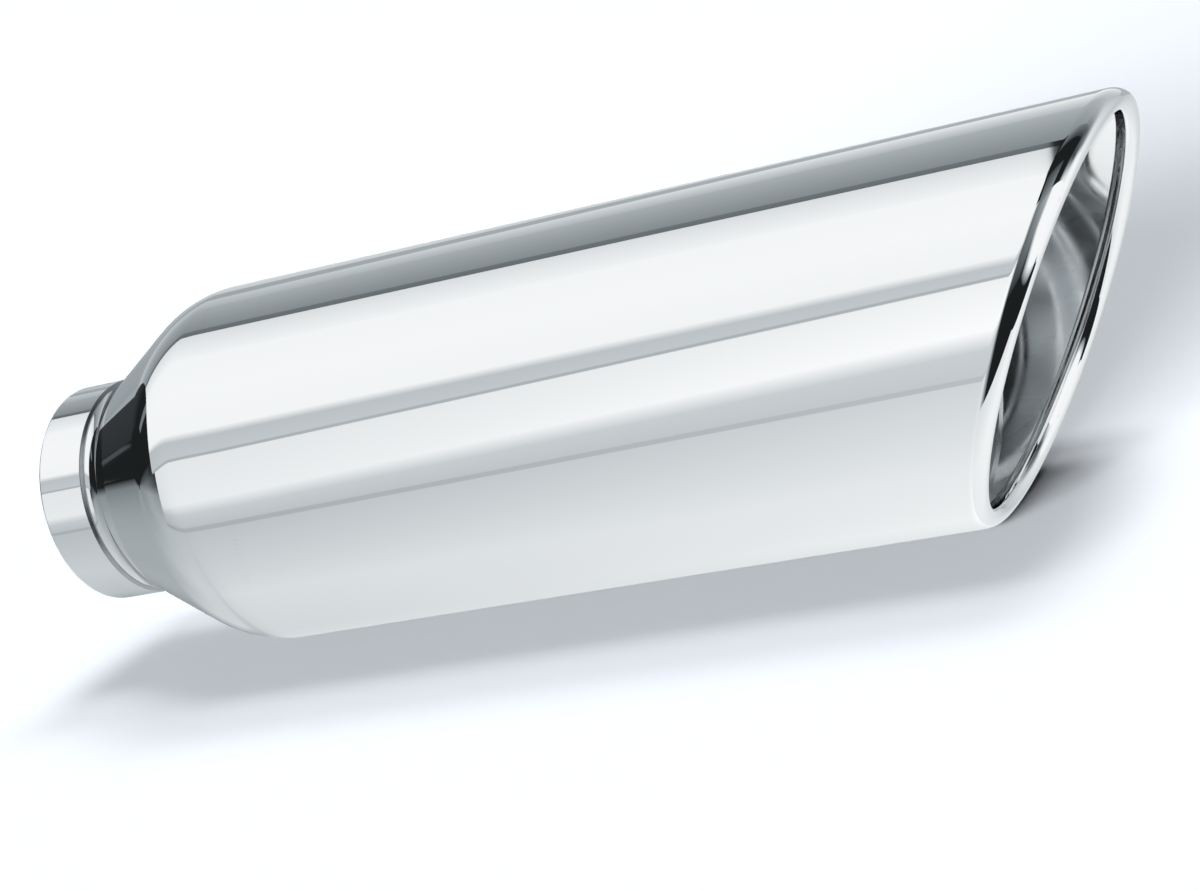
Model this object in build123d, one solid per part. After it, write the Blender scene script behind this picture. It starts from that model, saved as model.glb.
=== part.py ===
"""Angle-cut exhaust tip with a rolled mouth, a dished bell inside it and a louvred core.

Sizes are in millimetres. The origin is the centre of the inlet end face, +X runs along the axis to the
mouth and +Z points to the long side of the angle cut.
"""

import math
import os

from build123d import *

# Body and mouth
BODY_R = 50.8
WALL = 1.5
CUT_ANGLE = 30.0
MOUTH_X = 300.9
ROLL_R = 3.0
ROLL_LEAD = 1.6
ROLL_BITE = 0.04
ROLL_SHEET = 1.1
ROLL_LEG = 4.0
ROLL_STATIONS = 13

# Inlet collar and neck
BORE_R = 29.05
COLLAR_WALL = 2.35
COLLAR_LENGTH = 15.2
COLLAR_ROUND = 0.8
COLLAR_EDGE_ROUND = 0.5
CREASE_WALL = 1.75
CREASE_RUN = 0.8
NECK_RUN = 3.0
NECK_LENGTH = 34.8
NECK_BLEND = 2.94
SHOULDER_BLEND = 8.0
BORE_BLEND = 1.6

# Louvred core
CORE_R = 32.5
CORE_WALL = 1.25
CORE_FRONT_X = 238.0
COLUMNS = 40
WINDOW_SHARE = 0.61
FRONT_PLAIN = 17.0
FRONT_FIELD = 87.5
MIDDLE_FIELD = 42.5
REAR_FIELD = 56.0
FIELD_BAND = 2.5

# Front bell
BELL_SHEET = 1.2
BELL_FRONT_X = 264.0
BELL_FLOOR_X = 252.6
BELL_RIM_X = 249.4
RIM_FLARE = 2.7
BELL_DISH_FILLET = 6.0
BELL_RIM_FILLET = 2.4
SLEEVE_FRONT_X = 240.0
SLEEVE_REAR_X = 226.0
SLEEVE_FILLET = 6.0

# Sizes that follow from the ones above
INNER_R = BODY_R - WALL
ROLL_MID_R = BODY_R - ROLL_R
TAN_CUT = math.tan(math.radians(CUT_ANGLE))
CREASE_R = BORE_R + CREASE_WALL
CREASE_X = COLLAR_LENGTH + CREASE_RUN
NECK_X0 = CREASE_X + NECK_RUN
NECK_X1 = NECK_X0 + NECK_LENGTH
NECK_SLOPE = (BODY_R - CREASE_R) / (NECK_X1 - NECK_X0)
NECK_ANGLE = math.atan(NECK_SLOPE)
NECK_DROP = WALL / math.cos(NECK_ANGLE)
CORE_REAR_X = NECK_X0 + (CORE_R - CORE_WALL / 2 + NECK_DROP / 2 - CREASE_R) / NECK_SLOPE


def nearest_vertex(face, point):
    """Finds the corner of a flat face that is closest to a point.

    Args:
        face: flat face in the XY plane.
        point: the (x, r) position looked for.

    Returns:
        The vertex closest to the point.
    """
    return min(face.vertices(), key=lambda v: math.hypot(v.X - point[0], v.Y - point[1]))


def turned(points, fillets):
    """Revolves a closed (x, r) outline about the X axis.

    Args:
        points: corners of the outline in order.
        fillets: (corner, radius) pairs, the corners being among the points.

    Returns:
        The revolved solid.
    """
    face = make_face(Polyline(*points, close=True))
    for corner, radius in fillets:
        face = fillet(nearest_vertex(face, corner), radius)
    return revolve(face, Axis.X, 360)


def offset_line(points, distance):
    """Offsets an open (x, r) polyline to its left, keeping sharp corners.

    Args:
        points: corners of the polyline in order.
        distance: offset to the left of the direction of travel.

    Returns:
        The corners of the offset polyline.
    """
    lines = []
    for (x0, y0), (x1, y1) in zip(points, points[1:]):
        length = math.hypot(x1 - x0, y1 - y0)
        ux, uy = (x1 - x0) / length, (y1 - y0) / length
        lines.append((x0 - uy * distance, y0 + ux * distance, ux, uy))
    ax, ay, ux, uy = lines[0]
    result = [(ax, ay)]
    for (ax, ay, ux, uy), (bx, by, vx, vy) in zip(lines, lines[1:]):
        cross = ux * vy - uy * vx
        s = ((bx - ax) * vy - (by - ay) * vx) / cross
        result.append((ax + ux * s, ay + uy * s))
    ax, ay, ux, uy = lines[-1]
    length = math.hypot(points[-1][0] - points[-2][0], points[-1][1] - points[-2][1])
    result.append((ax + ux * length, ay + uy * length))
    return result


def behind_cut(middle, slope):
    """Makes a large block that fills the inlet side of a tilted plane across the axis.

    Args:
        middle: the plane's X on the axis.
        slope: growth of the plane's X with Z.

    Returns:
        The block, wide enough to hold the whole body.
    """
    reach = 1.5 * BODY_R
    low, high = middle - reach * slope, middle + reach * slope
    side = make_face(Polyline((-reach, -reach), (low, -reach), (high, reach), (-reach, reach), close=True))
    return extrude(Plane.XZ * side, reach, both=True)


def roll_section(theta):
    """Draws the hooked section of the rolled edge in one half-plane through the axis.

    Args:
        theta: angle of the half-plane about X in degrees, 90 being the long side of the cut.

    Returns:
        The face of the section, with a leg that lies inside the body's wall.
    """
    c, s = math.cos(math.radians(theta)), math.sin(math.radians(theta))
    mid_r = ROLL_MID_R
    outer, inner = ROLL_R - ROLL_BITE, ROLL_R - ROLL_SHEET
    x = MOUTH_X + mid_r * s * TAN_CUT
    stretch = math.hypot(1.0, TAN_CUT * c)
    lead = ROLL_LEAD * stretch
    bend_x = x - lead
    leg_x = bend_x - ROLL_LEG * stretch
    outline = [
        EllipticalCenterArc((x, mid_r), outer * stretch, outer, -180, arc_size=180),
        EllipticalCenterArc((bend_x, mid_r), outer * stretch + lead, outer, 0, arc_size=90),
        Line((bend_x, mid_r + outer), (leg_x, mid_r + outer)),
        Line((leg_x, mid_r + outer), (leg_x, mid_r + inner)),
        Line((leg_x, mid_r + inner), (bend_x, mid_r + inner)),
        EllipticalCenterArc((bend_x, mid_r), inner * stretch + lead, inner, 0, arc_size=90),
        EllipticalCenterArc((x, mid_r), inner * stretch, inner, -180, arc_size=180),
        Line((x - inner * stretch, mid_r), (x - outer * stretch, mid_r)),
    ]
    half_plane = Plane(origin=(0, 0, 0), x_dir=(1, 0, 0), z_dir=(0, -s, c))
    return half_plane * make_face(outline)


def rolled_edge():
    """Lofts the rolled edge of the mouth on one side and mirrors it to the other.

    Returns:
        The rolled ring, open at its back.
    """
    steps = ROLL_STATIONS - 1
    half = loft([roll_section(-90.0 + 180.0 * k / steps) for k in range(ROLL_STATIONS)])
    return half + mirror(half, about=Plane.XZ)


def outer_shell():
    """Makes the collar, neck, body and rolled mouth as one sheet.

    Returns:
        The shell solid.
    """
    bore_x = NECK_X0 + (BORE_R + NECK_DROP - CREASE_R) / NECK_SLOPE
    inner_x = NECK_X0 + (INNER_R + NECK_DROP - CREASE_R) / NECK_SLOPE
    end_x = MOUTH_X + BODY_R
    collar_r = BORE_R + COLLAR_WALL
    half_turn = math.tan(NECK_ANGLE / 2)
    shoulder_fillet = SHOULDER_BLEND / half_turn
    sheet = turned(
        [
            (0.0, BORE_R),
            (0.0, collar_r),
            (COLLAR_LENGTH, collar_r),
            (CREASE_X, CREASE_R),
            (NECK_X0, CREASE_R),
            (NECK_X1, BODY_R),
            (end_x, BODY_R),
            (end_x, INNER_R),
            (inner_x, INNER_R),
            (bore_x, BORE_R),
        ],
        [
            ((0.0, collar_r), COLLAR_ROUND),
            ((COLLAR_LENGTH, collar_r), COLLAR_EDGE_ROUND),
            ((NECK_X0, CREASE_R), NECK_BLEND / half_turn),
            ((NECK_X1, BODY_R), shoulder_fillet),
            ((inner_x, INNER_R), shoulder_fillet - WALL),
            ((bore_x, BORE_R), BORE_BLEND / half_turn),
        ],
    )
    slope_at_wall = TAN_CUT * ROLL_MID_R / (BODY_R - WALL / 2)
    cut_x = MOUTH_X - ROLL_LEAD * math.hypot(1.0, TAN_CUT)
    return (sheet & behind_cut(cut_x, slope_at_wall)) + rolled_edge()


def front_bell():
    """Makes the dished ring between the shell's wall and the core's front end.

    Returns:
        The bell solid.
    """
    flange_r = INNER_R - BELL_SHEET
    front = [
        (BELL_FRONT_X, flange_r),
        (BELL_FLOOR_X, flange_r),
        (BELL_RIM_X, CORE_R + RIM_FLARE),
        (SLEEVE_FRONT_X, CORE_R),
        (SLEEVE_REAR_X, CORE_R),
    ]
    back = offset_line(front, -BELL_SHEET)
    fillets = [
        (front[1], BELL_DISH_FILLET),
        (front[2], BELL_RIM_FILLET),
        (front[3], SLEEVE_FILLET),
        (back[1], BELL_DISH_FILLET + BELL_SHEET),
        (back[2], BELL_RIM_FILLET - BELL_SHEET),
        (back[3], SLEEVE_FILLET - BELL_SHEET),
    ]
    return turned(front + back[::-1], fillets)


def louvred_core(shell):
    """Makes the core tube with its columns of windows, its rear end cut to the neck.

    Args:
        shell: the outer shell, whose neck the rear end sits on.

    Returns:
        The core solid.
    """
    length = CORE_FRONT_X - CORE_REAR_X
    middle = (CORE_FRONT_X + CORE_REAR_X) / 2
    bore = CORE_R - CORE_WALL
    tube = Cylinder(CORE_R, length, rotation=(0, 90, 0)) - Cylinder(bore, 2 * length, rotation=(0, 90, 0))
    tube = Pos(middle, 0, 0) * tube
    width = WINDOW_SHARE * 2 * math.pi * bore / COLUMNS
    windows = []
    high = CORE_FRONT_X - FRONT_PLAIN
    for span in (FRONT_FIELD, MIDDLE_FIELD, REAR_FIELD):
        window = Pos(high - span / 2, 0, CORE_R - CORE_WALL / 2) * Box(span, width, 3 * CORE_WALL)
        for k in range(COLUMNS):
            windows.append(window.rotate(Axis.X, 360.0 * (k + 0.5) / COLUMNS))
        high -= span + FIELD_BAND
    return tube.cut(*windows) - shell


def main():
    """Builds the three pieces and writes one STEP file for each."""
    os.makedirs("parts", exist_ok=True)
    shell = outer_shell()
    pieces = {
        "outer_shell": shell,
        "front_bell": front_bell(),
        "louvred_core": louvred_core(shell),
    }
    for name, piece in pieces.items():
        export_step(piece, f"parts/{name}.step")
        print(name, round(piece.volume), piece.bounding_box().size)


if __name__ == "__main__":
    main()
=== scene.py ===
"""Angle-cut exhaust tip: polished shell, satin bell and louvred core, in a small white studio."""

import logging
import math
from dataclasses import dataclass, field
from enum import Enum

import bpy
import numpy as np
from mathutils import Matrix, Vector


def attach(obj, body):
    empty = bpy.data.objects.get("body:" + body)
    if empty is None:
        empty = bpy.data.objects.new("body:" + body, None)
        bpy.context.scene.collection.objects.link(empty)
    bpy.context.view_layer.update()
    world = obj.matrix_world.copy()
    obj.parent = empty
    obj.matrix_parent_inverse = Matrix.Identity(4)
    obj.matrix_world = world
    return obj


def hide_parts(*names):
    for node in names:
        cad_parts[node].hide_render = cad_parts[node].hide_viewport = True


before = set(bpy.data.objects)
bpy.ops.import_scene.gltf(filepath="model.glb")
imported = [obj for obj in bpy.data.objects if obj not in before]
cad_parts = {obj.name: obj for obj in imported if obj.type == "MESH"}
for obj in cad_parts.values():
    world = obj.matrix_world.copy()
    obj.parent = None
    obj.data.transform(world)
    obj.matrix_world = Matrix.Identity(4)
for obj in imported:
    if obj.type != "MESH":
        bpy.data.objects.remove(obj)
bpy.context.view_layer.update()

MM = 0.001
BODY = "root"
LOG = logging.getLogger("exhaust_tip")
# Distance of the extra ring beside each edge, which keeps the shading of a straight face straight.
EDGE_RING_MM = 0.3
# Range that most values of Blender's noise fall in.
NOISE_RANGE = (0.3, 0.7)
# Points of a turned section as (x, r) in millimetres, in order.
Outline = list[tuple[float, float]]


class Node(Enum):
    """Names of the CAD nodes that the visual pieces stand for."""

    SHELL = "outer_shell"
    BELL = "front_bell"
    CORE = "louvred_core"


class Slot(Enum):
    """Material slots of the record."""

    POLISHED = "polished_stainless"
    SATIN = "satin_stainless"
    LOUVRE = "louvre_stainless"


def linear(hex_colour: str) -> tuple[float, float, float, float]:
    """Turns an sRGB hex colour into linear RGBA.

    Args:
        hex_colour: six hex digits, with or without a leading hash.

    Returns:
        Linear red, green, blue and an alpha of 1.
    """
    digits = hex_colour.lstrip("#")
    channels = [int(digits[i : i + 2], 16) / 255 for i in (0, 2, 4)]
    values = [c / 12.92 if c <= 0.04045 else ((c + 0.055) / 1.055) ** 2.4 for c in channels]
    return (values[0], values[1], values[2], 1.0)


def add_node(
    tree: bpy.types.NodeTree, kind: str, inputs: dict | None = None, **settings: object
) -> bpy.types.Node:
    """Adds one node, sets its properties and fills or links its inputs.

    Args:
        tree: node tree that gets the node.
        kind: Blender's node type name.
        inputs: socket name or number to a value, or to an output socket to link from.
        **settings: node properties such as operation.

    Returns:
        The new node.
    """
    node = tree.nodes.new(kind)
    for name, value in settings.items():
        setattr(node, name, value)
    for key, value in (inputs or {}).items():
        if isinstance(value, bpy.types.NodeSocket):
            tree.links.new(value, node.inputs[key])
        else:
            node.inputs[key].default_value = value
    return node


@dataclass(frozen=True)
class MetalFinish:
    """A bare metal surface, described by how it was made.

    Args:
        name: material name.
        colour: reflected colour as sRGB hex.
        roughness: mean roughness.
        haze: how far the roughness wanders either way.
        haze_mm: size of the patches of haze.
        lines_mm: spacing of turning lines round the axis, 0 for none.
        lines_depth_mm: depth of the turning lines.
    """

    name: str
    colour: str
    roughness: float
    haze: float = 0.0
    haze_mm: float = 20.0
    lines_mm: float = 0.0
    lines_depth_mm: float = 0.0

    def make(self) -> bpy.types.Material:
        """Makes the material.

        Returns:
            The finished material.
        """
        material = bpy.data.materials.new(self.name)
        material.use_nodes = True
        tree = material.node_tree
        shader = tree.nodes["Principled BSDF"]
        shader.inputs["Base Color"].default_value = linear(self.colour)
        shader.inputs["Metallic"].default_value = 1.0
        shader.inputs["Roughness"].default_value = self.roughness
        place = add_node(tree, "ShaderNodeTexCoord").outputs["Object"]
        if self.haze:
            noise = add_node(
                tree,
                "ShaderNodeTexNoise",
                {"Vector": place, "Scale": 1 / (self.haze_mm * MM), "Detail": 3.0},
            )
            spread = add_node(
                tree,
                "ShaderNodeMapRange",
                {
                    "Value": noise.outputs["Fac"],
                    "From Min": NOISE_RANGE[0],
                    "From Max": NOISE_RANGE[1],
                    "To Min": self.roughness - self.haze,
                    "To Max": self.roughness + self.haze,
                },
            )
            tree.links.new(spread.outputs["Result"], shader.inputs["Roughness"])
        if self.lines_mm:
            self._turning_lines(tree, place, shader)
        return material

    def _turning_lines(
        self, tree: bpy.types.NodeTree, place: bpy.types.NodeSocket, shader: bpy.types.Node
    ) -> None:
        """Adds fine lines that run round the X axis, as left by spinning.

        Args:
            tree: the material's node tree.
            place: object coordinates.
            shader: the surface shader that gets the bump.
        """
        axes = add_node(tree, "ShaderNodeSeparateXYZ", {"Vector": place})
        flat = add_node(tree, "ShaderNodeCombineXYZ", {"Y": axes.outputs["Y"], "Z": axes.outputs["Z"]})
        radius = add_node(tree, "ShaderNodeVectorMath", {0: flat.outputs["Vector"]}, operation="LENGTH")
        track = add_node(
            tree, "ShaderNodeCombineXYZ", {"X": axes.outputs["X"], "Y": radius.outputs["Value"]}
        )
        noise = add_node(
            tree,
            "ShaderNodeTexNoise",
            {"Vector": track.outputs["Vector"], "Scale": 1 / (self.lines_mm * MM), "Detail": 2.0},
        )
        bump = add_node(
            tree,
            "ShaderNodeBump",
            {"Height": noise.outputs["Fac"], "Strength": 1.0, "Distance": self.lines_depth_mm * MM},
        )
        tree.links.new(bump.outputs["Normal"], shader.inputs["Normal"])


# Mirror-polished stainless sheet: crisp reflection bands with a trace of haze from the buffing wheel.
POLISHED = MetalFinish("stainless_mirror_polished", "#F5F6F6", 0.03, haze=0.008, haze_mm=25.0)
# Inside of the drawn tube, polished only by the drawing die: reflections blur into soft patches.
DRAWN = MetalFinish("stainless_drawn_bright", "#F5F6F6", 0.07, haze=0.03, haze_mm=8.0)
# Groove behind the collar: a rougher finish, and a darker grey that is painted shade in the crease.
PAINTED_GROOVE_SHADE = MetalFinish("stainless_groove_painted_shade", "#A6ABAE", 0.34, haze=0.06, haze_mm=3.0)
# Spun stainless left satin: a soft grey sheen with fine lines round the axis.
SATIN = MetalFinish("stainless_spun_satin", "#D4D8DA", 0.28, haze=0.05, lines_mm=0.6, lines_depth_mm=0.01)
# Pressed stainless strip as it comes from the mill: brighter than the bell, with blurred highlights.
MILL = MetalFinish("stainless_mill_pressed", "#E6E8E9", 0.38, haze=0.05, haze_mm=6.0)


def rounded(points: Outline, radii: list[float], steps: int) -> Outline:
    """Rounds the corners of an open (x, r) polyline.

    Args:
        points: corners in order.
        radii: radius at each corner, 0 for a sharp one. The two ends are left as they are.
        steps: segments in each arc.

    Returns:
        The points of the rounded line.
    """
    result = [points[0]]
    for before, corner, after, radius in zip(points, points[1:], points[2:], radii[1:-1]):
        if radius == 0:
            result.append(corner)
            continue
        p = Vector(corner)
        u, v = (Vector(before) - p).normalized(), (Vector(after) - p).normalized()
        half = u.angle(v) / 2
        centre = p + (u + v).normalized() * (radius / math.sin(half))
        start = p + u * (radius / math.tan(half)) - centre
        end = p + v * (radius / math.tan(half)) - centre
        sweep = start.angle_signed(end)
        for k in range(steps + 1):
            turn = Matrix.Rotation(-sweep * k / steps, 2)
            result.append(tuple(centre + turn @ start))
    result.append(points[-1])
    return result


def split_long(points: Outline, longest: float) -> Outline:
    """Adds points to the long steps of a line, with an extra one close to each end of such a step.

    Args:
        points: (x, r) points in order.
        longest: longest step allowed.

    Returns:
        The line with the points added.
    """
    result = [points[0]]
    for a, b in zip(points, points[1:]):
        gap = math.dist(a, b)
        if gap > longest:
            near = EDGE_RING_MM / gap
            inner = [near, *np.linspace(0, 1, math.ceil(gap / longest) + 1)[1:-1], 1 - near]
            result += [(a[0] + (b[0] - a[0]) * t, a[1] + (b[1] - a[1]) * t) for t in inner]
        result.append(b)
    return result


def mesh_object(
    name: str, points: np.ndarray, faces: list, sharp_deg: float = 40.0
) -> bpy.types.Object:
    """Makes a smooth-shaded mesh object from millimetre points.

    Args:
        name: object name.
        points: array of points in millimetres, one row each.
        faces: vertex numbers of each face.
        sharp_deg: edges that turn by more than this stay sharp.

    Returns:
        The object, linked to the scene.
    """
    mesh = bpy.data.meshes.new(name)
    mesh.from_pydata((points * MM).tolist(), [], faces)
    mesh.validate()
    mesh.shade_smooth()
    mesh.set_sharp_from_angle(angle=math.radians(sharp_deg))
    obj = bpy.data.objects.new(name, mesh)
    bpy.context.scene.collection.objects.link(obj)
    return obj


def ring_faces(rings: int, around: int, closed: bool) -> list[tuple[int, int, int, int]]:
    """Lists the quads of a grid of rings round the axis.

    Args:
        rings: number of rings.
        around: points in each ring.
        closed: whether the last ring joins the first.

    Returns:
        Vertex numbers of each quad.
    """
    faces = []
    for i in range(rings if closed else rings - 1):
        a, b = i * around, (i + 1) % rings * around
        for j in range(around):
            k = (j + 1) % around
            faces.append((a + j, a + k, b + k, b + j))
    return faces


@dataclass
class OuterShell:
    """Collar, neck, body and rolled angle-cut mouth, one polished sheet. Sizes in millimetres."""

    body_r: float = 50.8
    wall: float = 1.5
    cut_deg: float = 30.0
    mouth_x: float = 300.9
    roll_r: float = 3.0
    roll_lead: float = 1.6
    bore_r: float = 29.05
    collar_r: float = 31.4
    collar_length: float = 15.2
    crease_r: float = 30.8
    crease_x: float = 16.0
    neck_x: tuple[float, float] = (19.0, 53.8)
    neck_blend: float = 2.94
    shoulder_blend: float = 8.0
    bore_blend: float = 1.6
    # Rounds of the collar's end, of its front edge and of the groove behind it.
    collar_rounds: tuple[float, float, float] = (0.8, 0.5, 0.3)
    # Length of body that is drawn with the neck.
    body_start: float = 12.0
    # How far the groove's painted shade reaches past the groove, either way.
    groove_margin: float = 0.3
    around: int = 288
    body_rings: int = 36
    roll_rings: int = 55
    roll_back_rings: int = 28
    inside_rings: int = 24
    outer_step: float = 4.0
    inner_step: float = 8.0
    # Share of the body's length between the rolled edge and the ring next to it.
    edge_share: float = 0.0015
    finish: MetalFinish = POLISHED
    inside: MetalFinish = DRAWN
    # Darker grey of the groove behind the collar: painted shade.
    groove: MetalFinish = PAINTED_GROOVE_SHADE

    def _fixed_profile(self) -> tuple[Outline, Outline]:
        """Draws the parts of the section that don't change round the axis.

        Returns:
            The outer line from the inlet to the body, and the inner line from the body to the inlet.
        """
        slope = (self.body_r - self.crease_r) / (self.neck_x[1] - self.neck_x[0])
        half = math.tan(math.atan(slope) / 2)
        drop = self.wall * math.hypot(1.0, slope)
        inner_r = self.body_r - self.wall
        bore_x = self.neck_x[0] + (self.bore_r + drop - self.crease_r) / slope
        inner_x = self.neck_x[0] + (inner_r + drop - self.crease_r) / slope
        shoulder = self.shoulder_blend / half
        outer = rounded(
            [
                (0.0, self.bore_r),
                (0.0, self.collar_r),
                (self.collar_length, self.collar_r),
                (self.crease_x, self.crease_r),
                (self.neck_x[0], self.crease_r),
                (self.neck_x[1], self.body_r),
                (self.neck_x[1] + self.body_start, self.body_r),
            ],
            [0, *self.collar_rounds, self.neck_blend / half, shoulder, 0],
            steps=12,
        )
        inner = rounded(
            [
                (self.neck_x[1] + self.body_start, inner_r),
                (inner_x, inner_r),
                (bore_x, self.bore_r),
                (0.0, self.bore_r),
            ],
            [0, shoulder - self.wall, self.bore_blend / half, 0],
            steps=10,
        )
        return split_long(outer, self.outer_step), split_long(inner, self.inner_step)[:-1]

    def build(self) -> bpy.types.Object:
        """Builds the shell as a closed grid of rings.

        Returns:
            The shell object.
        """
        theta = np.linspace(0, 2 * math.pi, self.around, endpoint=False)
        tan_cut = math.tan(math.radians(self.cut_deg))
        mid_r = self.body_r - self.roll_r
        edge = self.mouth_x + mid_r * np.sin(theta) * tan_cut
        stretch = np.hypot(1.0, tan_cut * np.cos(theta))
        bend = edge - self.roll_lead * stretch
        outer, inner = self._fixed_profile()
        one = np.ones_like(theta)
        rings = [(x * one, r * one) for x, r in outer]
        start = outer[-1][0]
        along = [*np.linspace(0, 1, self.body_rings)[1:-1], 1 - self.edge_share, 1.0]
        rings += [(start + (bend - start) * t, self.body_r * one) for t in along]
        rings += self._roll(edge, stretch, self.roll_r, np.linspace(90, -180, self.roll_rings)[1:])
        outside = len(rings)
        turns = np.linspace(-180, 90, self.roll_back_rings)
        rings += self._roll(edge, stretch, self.roll_r - self.wall, turns)
        back = inner[0][0]
        along = [self.edge_share, *np.linspace(0, 1, self.inside_rings)[1:-1]]
        rings += [(bend + (back - bend) * t, (self.body_r - self.wall) * one) for t in along]
        rings += [(x * one, r * one) for x, r in inner]
        points = np.concatenate([np.c_[x, r * np.cos(theta), r * np.sin(theta)] for x, r in rings])
        obj = mesh_object("tip_shell", points, ring_faces(len(rings), self.around, True))
        ring = np.arange(len(obj.data.polygons)) // self.around
        slots = (ring >= outside).astype(np.int32)
        # Rings by the groove get the darker grey, which is painted shade in the crease.
        low, high = self.collar_length - self.groove_margin, self.crease_x + self.groove_margin
        slots[np.isin(ring, [i for i, (x, _) in enumerate(outer) if low < x < high])] = 2
        obj.data.polygons.foreach_set("material_index", slots)
        return obj

    def _roll(
        self, edge: np.ndarray, stretch: np.ndarray, radius: float, turns_deg: np.ndarray
    ) -> list[tuple[np.ndarray, np.ndarray]]:
        """Draws rings over one face of the rolled edge.

        Args:
            edge: X of the roll's centre at each angle round the axis.
            stretch: how much the slanted cut widens the roll along X at each angle.
            radius: radius of this face of the roll.
            turns_deg: angles round the roll, 90 being the outside of the body and 0 the crest.

        Returns:
            The (x, r) arrays of the rings.
        """
        rings = []
        for turn in np.radians(turns_deg):
            lead = self.roll_lead if turn > 0 else 0.0
            along = (radius + lead) * math.cos(turn) - lead
            out = self.body_r - self.roll_r + radius * math.sin(turn)
            rings.append((edge + along * stretch, np.full_like(edge, out)))
        return rings

    def dress(self, obj: bpy.types.Object) -> None:
        """Gives the shell its finish and its place in the frame.

        Args:
            obj: the shell object.
        """
        for finish in (self.finish, self.inside, self.groove):
            obj.data.materials.append(finish.make())
        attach(obj, BODY)
        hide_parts(Node.SHELL.value)


@dataclass
class FrontBell:
    """Dished ring between the shell's wall and the core. Sizes in millimetres."""

    flange_r: float = 49.3
    sheet: float = 1.2
    front_x: float = 264.0
    floor_x: float = 252.6
    rim_x: float = 249.4
    rim_r: float = 35.2
    sleeve_r: float = 32.5
    sleeve_x: tuple[float, float] = (226.0, 240.0)
    dish_fillet: float = 6.0
    rim_fillet: float = 2.4
    sleeve_fillet: float = 6.0
    around: int = 192
    front_step: float = 4.0
    back_step: float = 6.0
    finish: MetalFinish = SATIN

    def build(self) -> bpy.types.Object:
        """Builds the bell as a closed grid of rings.

        Returns:
            The bell object.
        """
        front = [
            Vector((self.front_x, self.flange_r - self.sheet)),
            Vector((self.floor_x, self.flange_r - self.sheet)),
            Vector((self.rim_x, self.rim_r)),
            Vector((self.sleeve_x[1], self.sleeve_r)),
            Vector((self.sleeve_x[0], self.sleeve_r)),
        ]
        steps = [(b - a).normalized() for a, b in zip(front, front[1:])]
        sides = [Vector((d.y, -d.x)) * self.sheet for d in steps]
        back = [front[0] + sides[0]]
        for corner, a, b in zip(front[1:-1], sides, sides[1:]):
            back.append(corner + (a + b) * (self.sheet**2 / (self.sheet**2 + a.dot(b))))
        back.append(front[-1] + sides[-1])
        radii = [0, self.dish_fillet, self.rim_fillet, self.sleeve_fillet, 0]
        turns = [a.cross(b) for a, b in zip(steps, steps[1:])]
        back_radii = [0, *[r + math.copysign(self.sheet, t) for r, t in zip(radii[1:], turns)], 0]
        line = split_long(rounded([tuple(p) for p in front], radii, steps=10), self.front_step)
        behind = split_long(rounded([tuple(p) for p in back], back_radii, steps=10), self.back_step)
        line += behind[::-1]
        theta = np.linspace(0, 2 * math.pi, self.around, endpoint=False)
        points = np.concatenate(
            [np.c_[np.full_like(theta, x), r * np.cos(theta), r * np.sin(theta)] for x, r in line]
        )
        return mesh_object("tip_bell", points, ring_faces(len(line), self.around, True))

    def dress(self, obj: bpy.types.Object) -> None:
        """Gives the bell its finish and its place in the frame.

        Args:
            obj: the bell object.
        """
        obj.data.materials.append(self.finish.make())
        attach(obj, BODY)
        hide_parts(Node.BELL.value)


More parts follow.
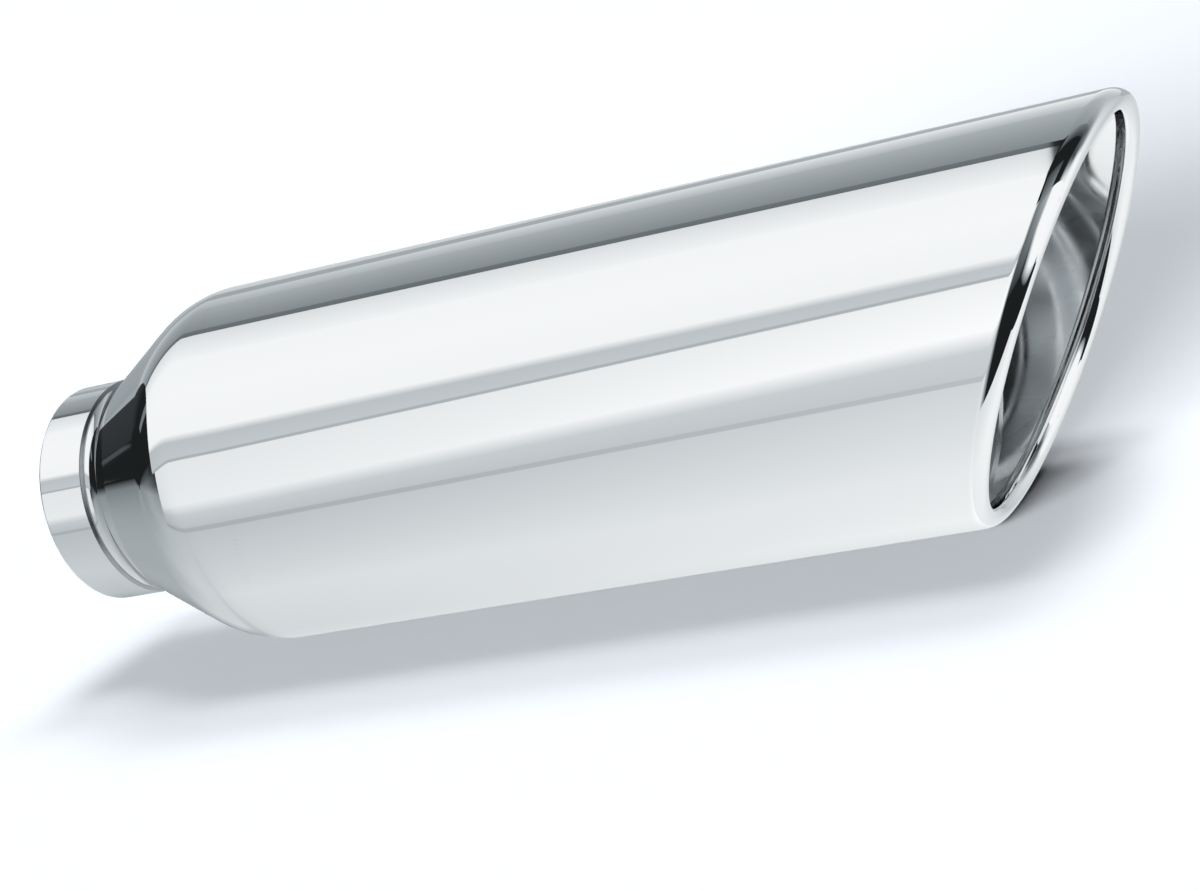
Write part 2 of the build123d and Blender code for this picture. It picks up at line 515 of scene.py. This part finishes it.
@dataclass
class LouvredCore:
    """Core tube with columns of fine louvres between plain strips. Sizes in millimetres."""

    outer_r: float = 32.5
    wall: float = 1.25
    front_x: float = 238.0
    rear_x: tuple[float, float] = (22.8, 24.97)
    columns: int = 40
    window_share: float = 0.61
    front_plain: float = 17.0
    fields: tuple[float, float, float] = (87.5, 42.5, 56.0)
    band: float = 2.5
    pitch: float = 1.8
    slat: float = 1.1
    slat_thickness: float = 0.3
    # Share of a column by which each end of a slat goes into the plain strip.
    slat_lap_share: float = 0.01
    slat_sink: float = 0.1
    # Mesh strips across each window and across each plain strip, and length of a mesh row.
    window_strips: int = 3
    rib_strips: int = 2
    row_length: float = 12.0
    sharp_deg: float = 30.0
    finish: MetalFinish = MILL

    def spans(self) -> list[tuple[float, float]]:
        """Finds where the three fields of windows lie.

        Returns:
            The low and high X of each field, front field first.
        """
        result, high = [], self.front_x - self.front_plain
        for length in self.fields:
            result.append((high - length, high))
            high -= length + self.band
        return result

    def _tube(self) -> tuple[np.ndarray, list]:
        """Builds the tube wall with its windows left open.

        Returns:
            Points and faces of the tube.
        """
        inner_r = self.outer_r - self.wall
        share = self.window_share
        inside = [share * k / self.window_strips for k in range(self.window_strips)]
        inside += [share + (1 - share) * k / self.rib_strips for k in range(self.rib_strips)]
        angles = np.array([(k + 0.5 - share / 2 + t) for k in range(self.columns) for t in inside])
        theta = np.pi / 2 + angles * 2 * np.pi / self.columns
        stops = [self.rear_x[0]]
        for low, high in self.spans()[::-1]:
            stops += [low, high]
        stops.append(self.front_x)
        xs, is_open = [stops[0]], []
        for a, b, window in zip(stops, stops[1:], [False, True] * len(stops)):
            count = max(1, round((b - a) / self.row_length))
            xs += list(np.linspace(a, b, count + 1)[1:])
            is_open += [window] * count
        points = []
        for radius in (inner_r, self.outer_r):
            for i, x in enumerate(xs):
                place = self.rear_x[1] if i == 0 and radius == self.outer_r else x
                across = (radius * np.cos(theta), radius * np.sin(theta))
                points.append(np.c_[np.full_like(theta, place), across[0], across[1]])
        return np.concatenate(points), self._tube_faces(is_open, len(theta))

    def _tube_faces(self, is_open: list[bool], around: int) -> list[tuple[int, int, int, int]]:
        """Lists the faces of the tube wall and of the windows' edges.

        Args:
            is_open: whether each row of the wall lies in a field of windows.
            around: points in each ring.

        Returns:
            Vertex numbers of each face.
        """
        rows = len(is_open) + 1
        ids = np.arange(2 * rows * around).reshape(2, rows, around)
        inner, outer = np.concatenate([ids, ids[:, :, :1]], axis=2).tolist()
        strips = self.window_strips + self.rib_strips
        faces = []
        for i, window in enumerate(is_open):
            for j in range(around):
                k, strip = j + 1, j % strips
                if not window or strip >= self.window_strips:
                    faces.append((inner[i][j], inner[i + 1][j], inner[i + 1][k], inner[i][k]))
                    faces.append((outer[i][j], outer[i][k], outer[i + 1][k], outer[i + 1][j]))
                elif strip == 0:
                    faces.append((inner[i][j], outer[i][j], outer[i + 1][j], inner[i + 1][j]))
                elif strip == self.window_strips - 1:
                    faces.append((inner[i][k], inner[i + 1][k], outer[i + 1][k], outer[i][k]))
        ends = [None, *is_open, None]
        for i, (before, after) in enumerate(zip(ends, ends[1:])):
            for j in range(around):
                edge = before != after and j % strips < self.window_strips
                if before is None or after is None or edge:
                    faces.append((inner[i][j], inner[i][j + 1], outer[i][j + 1], outer[i][j]))
        return faces

    def _slats(self) -> tuple[np.ndarray, list]:
        """Builds the slanting louvre slats across the front and rear fields.

        Returns:
            Points and faces of the slats.
        """
        inner_r = self.outer_r - self.wall
        reach = 2 * math.pi / self.columns * (self.window_share / 2 + self.slat_lap_share)
        front, _, rear = self.spans()
        starts = []
        for low, high in (front, rear):
            count = int((high - low) / self.pitch)
            slack = (high - low - (count - 1) * self.pitch - self.slat) / 2
            starts += [low + slack + k * self.pitch for k in range(count)]
        points, faces = [], []
        quads = [(0, 1, 3, 2), (4, 6, 7, 5), (0, 4, 5, 1), (2, 3, 7, 6), (0, 2, 6, 4), (1, 5, 7, 3)]
        for k in range(self.columns):
            mid = math.pi / 2 + 2 * math.pi * (k + 0.5) / self.columns
            ends = [(math.cos(mid + s * reach), math.sin(mid + s * reach)) for s in (-1, 1)]
            for x in starts:
                base = len(points)
                for dx, r in ((0.0, self.outer_r - self.slat_sink), (self.slat, inner_r)):
                    for thick in (0.0, self.slat_thickness):
                        points += [(x + dx, (r + thick) * c, (r + thick) * s) for c, s in ends]
                faces += [tuple(base + q for q in quad) for quad in quads]
        return np.array(points), faces

    def build(self) -> bpy.types.Object:
        """Builds the tube and its slats as one mesh.

        Returns:
            The core object.
        """
        points, faces = self._tube()
        slat_points, slat_faces = self._slats()
        shift = len(points)
        faces = faces + [tuple(shift + v for v in face) for face in slat_faces]
        return mesh_object("tip_core", np.concatenate([points, slat_points]), faces, self.sharp_deg)

    def dress(self, obj: bpy.types.Object) -> None:
        """Gives the core its finish and its place in the frame.

        Args:
            obj: the core object.
        """
        obj.data.materials.append(self.finish.make())
        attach(obj, BODY)
        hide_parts(Node.CORE.value)


# A place on the ball of cards and the brightness there: (turn, tilt, level).
Spot = tuple[float, float, float]


@dataclass(frozen=True)
class Card:
    """One glowing card of the studio, a ribbon on a large ball round the object.

    Each row has two spots, one on each long edge of the ribbon. The turn goes about the X axis in degrees:
    0 is away from the camera, 90 overhead and 180 towards the camera. The tilt goes from -90 at the inlet's
    end of that axis to 90 at the mouth's end. The level is the brightness.

    Args:
        name: what the card is.
        rows: the rows in order, from the inlet's side to the mouth's side.
    """

    name: str
    rows: tuple[tuple[Spot, Spot], ...]


def card(name: str, *rows: tuple[Spot, Spot]) -> Card:
    """Makes a card from its rows.

    Args:
        name: what the card is.
        *rows: the rows in order.

    Returns:
        The card.
    """
    return Card(name, rows)


# Cards that the body, neck and collar mirror, from the far side over the top to the floor.
# Neighbours share their edges, so a turn such as 155.41 lies on the line between two rows of a neighbour.
BODY_CARDS = (
    card(
        "far_wall",
        ((-15, -62, 0.36), (16, -62, 0.34)),
        ((-15, -50, 0.30), (15, -50, 0.44)),
        ((-15, -40, 0.42), (14.2, -40, 0.60)),
        ((-15, -37, 0.78), (14, -37, 0.64)),
        ((-15, -14, 0.80), (-8, -14, 0.72)),
        ((-15, 14, 0.60), (-8, 14, 0.60)),
    ),
    card(
        "far_trim",
        ((16, -62, 0.42), (26, -62, 0.42)),
        ((14, -37, 0.42), (24, -37, 0.42)),
        ((-8, -14, 0.50), (4, -14, 0.50)),
        ((-8, 14, 0.50), (4, 14, 0.50)),
    ),
    card(
        "grey_flag_top",
        ((26, -62, 0.60), (38, -62, 0.50)),
        ((24, -37, 0.62), (36, -37, 0.50)),
        ((4, -14, 1.00), (28, -14, 0.56)),
        ((4, 14, 0.60), (28, 14, 0.56)),
    ),
    card(
        "grey_flag",
        ((38, -62, 0.46), (60.5, -62, 0.30)),
        ((36, -37, 0.46), (60.5, -37, 0.30)),
        ((28, -14, 0.50), (60.5, -14, 0.30)),
        ((28, 14, 0.56), (60.5, 14, 0.36)),
    ),
    card("grey_flag_edge", ((60.5, -62, 0.19), (65, -62, 0.16)), ((60.5, -19, 0.20), (65, -19, 0.17))),
    card("overhead_edge", ((65, -62, 0.80), (84, -62, 0.96)), ((65, -19, 0.80), (84, -19, 0.98))),
    card(
        "overhead",
        ((84, -62, 0.98), (110, -62, 1.00)),
        ((84, -37, 0.99), (110, -37, 1.01)),
        ((84, -19, 1.00), (106, -16, 1.02)),
    ),
    card(
        "overhead_near",
        ((110, -62, 1.00), (134, -62, 0.98)),
        ((110, -37, 1.01), (136, -37, 0.99)),
        ((106, -16, 1.02), (127.5, -14, 0.98)),
        ((106, -10, 0.22), (127.5, -9, 0.20)),
    ),
    card(
        "near_flag_soft",
        ((134, -62, 0.98), (138, -62, 0.62)),
        ((136, -37, 0.99), (140.5, -37, 0.60)),
        ((127.5, -14, 0.98), (132, -14, 0.62)),
        ((127.5, -9, 0.20), (132, -9, 0.17)),
    ),
    card(
        "near_flag",
        ((138, -62, 0.58), (154, -62, 0.60)),
        ((140.5, -37, 0.60), (150.5, -37, 0.64)),
        ((132, -14, 0.62), (135.3, -14, 0.64)),
        ((132, -9, 0.17), (135.3, -9, 0.14)),
    ),
    card(
        "near_flag_edge",
        ((154, -62, 0.46), (156, -62, 0.46)),
        ((150.5, -37, 0.50), (152.3, -37, 0.50)),
        ((135.3, -14, 0.50), (137, -14, 0.50)),
        ((135.3, -9, 0.14), (137, -9, 0.13)),
    ),
    card(
        "front_box",
        ((155.41, -58, 0.84), (182.52, -58, 0.80)),
        ((152.3, -37, 0.88), (180, -37, 0.93)),
        ((137, -14, 1.00), (162, -14, 1.12)),
        ((137, -9, 0.13), (162, -8, 0.03)),
    ),
    card(
        "front_soft",
        ((182.52, -58, 0.80), (188.76, -58, 0.57)),
        ((180, -37, 0.93), (187.5, -37, 0.67)),
        ((162, -14, 1.12), (174, -14, 0.70)),
        ((162, -8, 0.03), (174, -7, 0.03)),
    ),
    card(
        "front_sweep",
        ((188.76, -58, 0.57), (196.84, -58, 0.50)),
        ((187.5, -37, 0.67), (196, -37, 0.60)),
        ((174, -14, 0.70), (190, -14, 0.68)),
        ((174, -7, 0.03), (190, -5, 0.03)),
    ),
    card(
        "table_edge",
        ((196.84, -58, 0.42), (199.82, -58, 0.42)),
        ((196, -37, 0.50), (199, -37, 0.50)),
        ((190, -14, 0.62), (193, -14, 0.62)),
    ),
    card(
        "table",
        ((200, -89, 0.28), (250, -89, 0.34)),
        ((200, -62, 0.53), (250, -62, 0.60)),
        ((199.45, -50, 0.56), (250, -50, 0.70)),
        ((199.14, -43, 0.58), (250, -43, 0.71)),
        ((199, -40, 0.58), (250, -40, 0.68)),
        ((199, -37, 0.61), (250, -37, 0.80)),
        ((193, -14, 0.80), (250, -14, 0.96)),
    ),
    card(
        "table_far",
        ((250, -89, 0.34), (300, -89, 0.36)),
        ((250, -62, 0.60), (300, -62, 0.50)),
        ((250, -50, 0.70), (300, -50, 0.70)),
        ((250, -43, 0.71), (300, -43, 0.73)),
        ((250, -40, 0.68), (300, -40, 0.58)),
        ((250, -37, 0.80), (300, -37, 0.74)),
        ((250, -14, 0.96), (300, -14, 1.08)),
    ),
    card(
        "far_low",
        ((300, -89, 0.36), (345, -89, 0.24)),
        ((300, -62, 0.50), (345, -62, 0.26)),
        ((300, -50, 0.70), (345, -50, 0.20)),
        ((300, -43, 0.73), (345, -43, 0.24)),
        ((300, -40, 0.58), (345, -40, 0.34)),
        ((300, -37, 0.74), (345, -37, 0.78)),
        ((300, -14, 1.08), (345, -14, 0.80)),
    ),
    card("far_low_fade", ((345, -89, 0.24), (360, -89, 0.03)), ((345, -62, 0.26), (360, -62, 0.04))),
    card(
        "inlet_near",
        ((146, -89, 0.02), (156, -89, 0.12)),
        ((146, -72, 0.03), (156, -72, 0.10)),
        ((146, -62, 0.02), (156, -62, 0.03)),
    ),
    card(
        "inlet_rise",
        ((156, -89, 0.12), (166, -89, 0.26)),
        ((156, -72, 0.10), (166, -72, 0.22)),
        ((155.41, -58, 0.03), (166, -58, 0.05)),
    ),
    card(
        "inlet_soft",
        ((166, -89, 0.26), (175, -89, 0.28)),
        ((166, -72, 0.22), (175, -72, 0.40)),
        ((166, -58, 0.05), (175, -58, 0.32)),
    ),
    card(
        "inlet_front",
        ((175, -89, 0.28), (200, -89, 0.28)),
        ((175, -72, 0.40), (200, -72, 0.46)),
        ((175, -58, 0.32), (199.82, -58, 0.54)),
    ),
    card("inlet_cap", ((14, -76, 0.035), (32, -74, 0.035)), ((14, -62, 0.045), (32, -62, 0.045))),
    card("inlet_cap_side", ((32, -74, 0.035), (60, -74, 0.016)), ((32, -62, 0.045), (60, -62, 0.016))),
    card("inlet_line", ((26, -76.0, 0.09), (4, -81.8, 0.09)), ((26, -74.8, 0.09), (4, -80.6, 0.09))),
    card("inlet_gap", ((86, -72, 0.22), (97, -72, 0.22)), ((86, -62, 0.22), (97, -62, 0.22))),
)

# Cards that the rolled edge and the inside mirror, on the mouth's side.
MOUTH_CARDS = (
    card("flag_side", ((60.5, -14, 0.30), (72, -18, 0.05)), ((60, 34, 0.16), (72, 34, 0.04))),
    card("table_fade", ((190, -14, 0.64), (215, -14, 0.78)), ((190, -5, 0.03), (215, -4, 0.03))),
    card("grey_rise", ((90, -15, 0.06), (112, -9, 0.22)), ((90, 12, 0.07), (112, 14, 0.36))),
    card("grey_slope", ((112, -9, 0.22), (160, -8, 0.04)), ((112, 14, 0.50), (160, 15, 0.04))),
    card("box_foot", ((109, 14, 0.45), (135, 14, 0.32)), ((109, 20, 1.02), (135, 22, 1.02))),
    card("box_foot_near", ((135, 14, 0.32), (163, 20, 0.03)), ((135, 22, 1.02), (163, 33, 1.02))),
    card("box_foot_low", ((163, 20, 0.03), (183, 40, 0.03)), ((163, 33, 1.02), (183, 54, 1.02))),
    card("box_foot_end", ((183, 40, 0.03), (206, 60, 0.03)), ((183, 54, 1.02), (206, 68, 1.02))),
    card("box", ((109, 20, 1.02), (135, 22, 1.02)), ((109, 68, 1.02), (135, 68, 1.02))),
    card("box_near", ((135, 22, 1.02), (163, 33, 1.02)), ((135, 68, 1.02), (163, 68, 1.02))),
    card("box_low", ((163, 33, 1.02), (183, 54, 1.02)), ((163, 68, 1.02), (183, 68, 1.02))),
    card("box_end", ((183, 54, 1.02), (206, 67.5, 1.02)), ((183, 68, 1.02), (206, 68, 1.02))),
    card(
        "mouth_table",
        ((215, -14, 0.80), (255, -14, 0.92)),
        ((215, 18, 0.86), (255, 18, 0.98)),
        ((216, 40, 0.86), (255, 60, 0.98)),
    ),
    card(
        "mouth_far",
        ((255, -14, 0.92), (300, -14, 0.92)),
        ((255, 18, 0.98), (300, 18, 0.96)),
        ((255, 60, 0.98), (300, 60, 0.92)),
        ((255, 68, 1.00), (300, 68, 1.00)),
    ),
    card(
        "mouth_far_side",
        ((300, -14, 0.92), (345, -14, 0.80)),
        ((300, 18, 0.96), (345, 18, 0.58)),
        ((300, 60, 0.92), (345, 60, 0.88)),
        ((300, 68, 1.00), (345, 68, 0.92)),
    ),
    card(
        "far_high",
        ((-15, 14, 0.60), (30, 14, 0.54)),
        ((-15, 40, 0.76), (30, 40, 0.72)),
        ((-15, 68, 0.92), (30, 68, 0.92)),
    ),
    card(
        "far_high_top",
        ((30, 14, 0.54), (60, 14, 0.34)),
        ((30, 40, 0.72), (60, 40, 0.14)),
        ((30, 56, 0.80), (60, 56, 0.30)),
        ((30, 68, 0.92), (60, 68, 0.88)),
    ),
    card(
        "column_far",
        ((60, 34, 0.12), (86, 34, 0.06)),
        ((60, 56, 0.30), (86, 50, 0.08)),
        ((60, 63, 0.80), (86, 63, 0.85)),
        ((60, 68, 0.88), (86, 68, 0.92)),
    ),
    card(
        "column_top",
        ((86, 34, 0.06), (109, 34, 0.26)),
        ((86, 50, 0.08), (109, 46, 0.85)),
        ((86, 63, 0.85), (109, 63, 0.94)),
        ((86, 68, 0.92), (109, 68, 0.95)),
    ),
    card("mouth_wall", ((0, 68, 1.00), (360, 68, 1.00)), ((0, 89, 1.00), (360, 89, 1.00))),
)


@dataclass(frozen=True)
class Lamp:
    """One distant soft lamp.

    Args:
        name: lamp name.
        way: direction from the object to the lamp.
        angle_deg: how wide it looks, which sets how soft its shadow is.
        strength: light on a surface that faces it.
        colour: colour of the light as sRGB hex.
    """

    name: str
    way: tuple[float, float, float]
    angle_deg: float
    strength: float
    colour: str


# Soft lamps that whiten the floor and cast the shadow, two from the front and two from above.
LAMPS = (
    Lamp("front_low", (-0.12, -0.98, 0.17), 20.0, 6.45, "#F5FAFF"),
    Lamp("front", (0.17, -0.94, 0.29), 14.0, 2.65, "#F5FAFF"),
    Lamp("overhead", (0.24, 0.02, 0.97), 19.5, 1.02, "#F5FAFF"),
    Lamp("overhead_far", (0.19, 0.41, 0.89), 18.5, 1.03, "#F5FAFF"),
)


@dataclass
class Studio:
    """White floor, glowing cards, dark room, soft lamps and camera.

    Sizes are in metres unless the name says otherwise.
    """

    floor_z: float = -0.0509
    floor_half_mm: float = 14000.0
    floor_colour: str = "#F2F3F5"
    centre: tuple[float, float, float] = (0.16, 0.0, 0.0)
    card_r: float = 4.5
    card_step_deg: float = 3.0
    # Tints of dim and of bright cards, and the levels between which one goes over into the other.
    dim_tint: str = "#EBF8FF"
    bright_tint: str = "#FDFEFF"
    tint_levels: tuple[float, float] = (0.25, 1.0)
    room_r: float = 4.9
    room_level: float = 0.015
    cards: tuple[Card, ...] = BODY_CARDS + MOUTH_CARDS
    lamps: tuple[Lamp, ...] = LAMPS
    sky_level: float = 0.03
    # Camera: where the eye is, and which ways are right and down in the picture.
    eye_mm: tuple[float, float, float] = (598.5, -723.24, 207.5)
    right: tuple[float, float, float] = (0.85295, 0.41574, -0.31564)
    down: tuple[float, float, float] = (-0.15671, -0.37285, -0.91456)
    focal_px: float = 3231.5
    image_px: tuple[int, int] = (1200, 890)
    sensor_mm: float = 36.0
    stage: list[bpy.types.Object] = field(default_factory=list)

    def _glow(self, name: str) -> bpy.types.Material:
        """Makes the light source material of the cards, whose brightness is stored on the mesh.

        Args:
            name: material name.

        Returns:
            The material.
        """
        material = bpy.data.materials.new(name)
        material.use_nodes = True
        tree = material.node_tree
        tree.nodes.clear()
        level = add_node(tree, "ShaderNodeAttribute", attribute_name="level")
        share = add_node(
            tree,
            "ShaderNodeMapRange",
            {
                "Value": level.outputs["Fac"],
                "From Min": self.tint_levels[0],
                "From Max": self.tint_levels[1],
            },
        )
        tint = add_node(
            tree,
            "ShaderNodeMix",
            {0: share.outputs["Result"], 6: linear(self.dim_tint), 7: linear(self.bright_tint)},
            data_type="RGBA",
        )
        # A card that the floor would see by way of the metal is dark, which keeps specks off the floor.
        path = add_node(tree, "ShaderNodeLightPath")
        lit = add_node(
            tree,
            "ShaderNodeMapRange",
            {"Value": path.outputs["Diffuse Depth"], "To Min": 1.0, "To Max": 0.0},
        )
        strength = add_node(
            tree,
            "ShaderNodeMath",
            {0: level.outputs["Fac"], 1: lit.outputs["Result"]},
            operation="MULTIPLY",
        )
        glow = add_node(
            tree, "ShaderNodeEmission", {"Color": tint.outputs[2], "Strength": strength.outputs[0]}
        )
        add_node(tree, "ShaderNodeOutputMaterial", {"Surface": glow.outputs["Emission"]})
        return material

    def _ribbon(self, ribbon: Card, radius: float, material: bpy.types.Material) -> None:
        """Builds one card, seen only in reflections.

        Args:
            ribbon: the card's rows.
            radius: distance from the object.
            material: the glowing material.
        """
        spots, faces = [], []
        for low, high in zip(ribbon.rows, ribbon.rows[1:]):
            corners = np.array([low, high], float)
            size = max(np.abs(np.diff(corners[:, :, :2], axis=axis)).max() for axis in (0, 1))
            count = max(3, math.ceil(size / self.card_step_deg) + 1)
            part = np.linspace(0, 1, count)
            edge = corners[0][None] + (corners[1] - corners[0])[None] * part[:, None, None]
            grid = edge[:, None, 0] + (edge[:, 1] - edge[:, 0])[:, None] * part[None, :, None]
            rows = np.arange(count * count).reshape(count, count) + len(spots)
            quads = np.stack([rows[:-1, :-1], rows[:-1, 1:], rows[1:, 1:], rows[1:, :-1]], axis=-1)
            faces += quads.reshape(-1, 4).tolist()
            spots += grid.reshape(-1, 3).tolist()
        turn, tilt, level = np.array(spots).T
        turn, tilt = np.radians(turn), np.radians(tilt)
        ways = np.c_[np.sin(tilt), np.cos(tilt) * np.cos(turn), np.cos(tilt) * np.sin(turn)]
        obj = mesh_object("card_" + ribbon.name, (np.array(self.centre) + radius * ways) / MM, faces)
        attribute = obj.data.attributes.new("level", "FLOAT", "POINT")
        attribute.data.foreach_set("value", level.astype(np.float32))
        obj.data.materials.append(material)
        obj.visible_camera = False
        obj.visible_diffuse = False
        obj.visible_shadow = False
        self.stage.append(obj)

    def build(self) -> None:
        """Builds the floor, the cards, the lights and the camera."""
        glow = self._glow("studio_card_glow")
        for ribbon in self.cards:
            self._ribbon(ribbon, self.card_r, glow)
        dark = self.room_level
        room = card("room", ((0, -90, dark), (360, -90, dark)), ((0, 90, dark), (360, 90, dark)))
        self._ribbon(room, self.room_r, glow)
        self._floor()
        self._lights()
        self._camera()
        self._world()

    def _floor(self) -> None:
        """Lays the pale floor, left out of the metal's reflections, where the cards take its place."""
        size = self.floor_half_mm
        points = np.array([(-size, -size, 0), (size, -size, 0), (size, size, 0), (-size, size, 0)])
        points[:, 2] = self.floor_z / MM
        floor = mesh_object("floor", points, [(0, 1, 2, 3)])
        material = bpy.data.materials.new("studio_paper_white")
        material.use_nodes = True
        shader = material.node_tree.nodes["Principled BSDF"]
        shader.inputs["Base Color"].default_value = linear(self.floor_colour)
        shader.inputs["Roughness"].default_value = 0.9
        shader.inputs["Specular IOR Level"].default_value = 0.0
        floor.data.materials.append(material)
        floor.visible_glossy = False
        self.stage.append(floor)

    def _lights(self) -> None:
        """Sets the soft lamps that whiten the floor and cast the shadow, left out of reflections."""
        for lamp in self.lamps:
            light = bpy.data.lights.new(lamp.name, "SUN")
            light.angle = math.radians(lamp.angle_deg)
            light.energy = lamp.strength
            light.color = linear(lamp.colour)[:3]
            obj = bpy.data.objects.new(lamp.name, light)
            bpy.context.scene.collection.objects.link(obj)
            obj.matrix_world = Vector(lamp.way).to_track_quat("Z", "Y").to_matrix().to_4x4()
            obj.visible_glossy = False

    def _world(self) -> None:
        """Makes a background that looks white and lights the floor from all round at a lower level."""
        world = bpy.data.worlds.new("studio_world")
        world.use_nodes = True
        tree = world.node_tree
        path = add_node(tree, "ShaderNodeLightPath")
        seen = path.outputs["Is Camera Ray"]
        for ray in ("Is Glossy Ray", "Is Transmission Ray"):
            both = add_node(tree, "ShaderNodeMath", {0: seen, 1: path.outputs[ray]}, operation="ADD")
            seen = both.outputs[0]
        level = add_node(
            tree, "ShaderNodeMapRange", {"Value": seen, "To Min": self.sky_level, "To Max": 1.0}
        )
        tree.links.new(level.outputs["Result"], tree.nodes["Background"].inputs["Strength"])
        tree.nodes["Background"].inputs["Color"].default_value = (1.0, 1.0, 1.0, 1.0)
        bpy.context.scene.world = world

    def _camera(self) -> None:
        """Places the camera at the photograph's viewing angle."""
        data = bpy.data.cameras.new("camera")
        data.sensor_fit = "HORIZONTAL"
        data.sensor_width = self.sensor_mm
        data.lens = self.sensor_mm * self.focal_px / self.image_px[0]
        data.clip_start = 0.01
        data.clip_end = 100.0
        obj = bpy.data.objects.new("camera", data)
        bpy.context.scene.collection.objects.link(obj)
        right, up = Vector(self.right).normalized(), -Vector(self.down)
        back = right.cross(up).normalized()
        up = back.cross(right)
        turn = Matrix((right, up, back)).transposed().to_4x4()
        obj.matrix_world = Matrix.Translation(Vector(self.eye_mm) * MM) @ turn
        scene = bpy.context.scene
        scene.camera = obj
        scene.view_settings.view_transform = "Standard"


def main() -> None:
    """Builds the pieces and the studio and reports each piece."""
    logging.basicConfig(level=logging.INFO, format="%(message)s")
    for piece in (OuterShell(), FrontBell(), LouvredCore()):
        obj = piece.build()
        piece.dress(obj)
        size = tuple(round(d, 4) for d in obj.dimensions)
        LOG.info("%s: %d faces, size %s m", obj.name, len(obj.data.polygons), size)
    Studio().build()


if __name__ == "__main__":
    main()
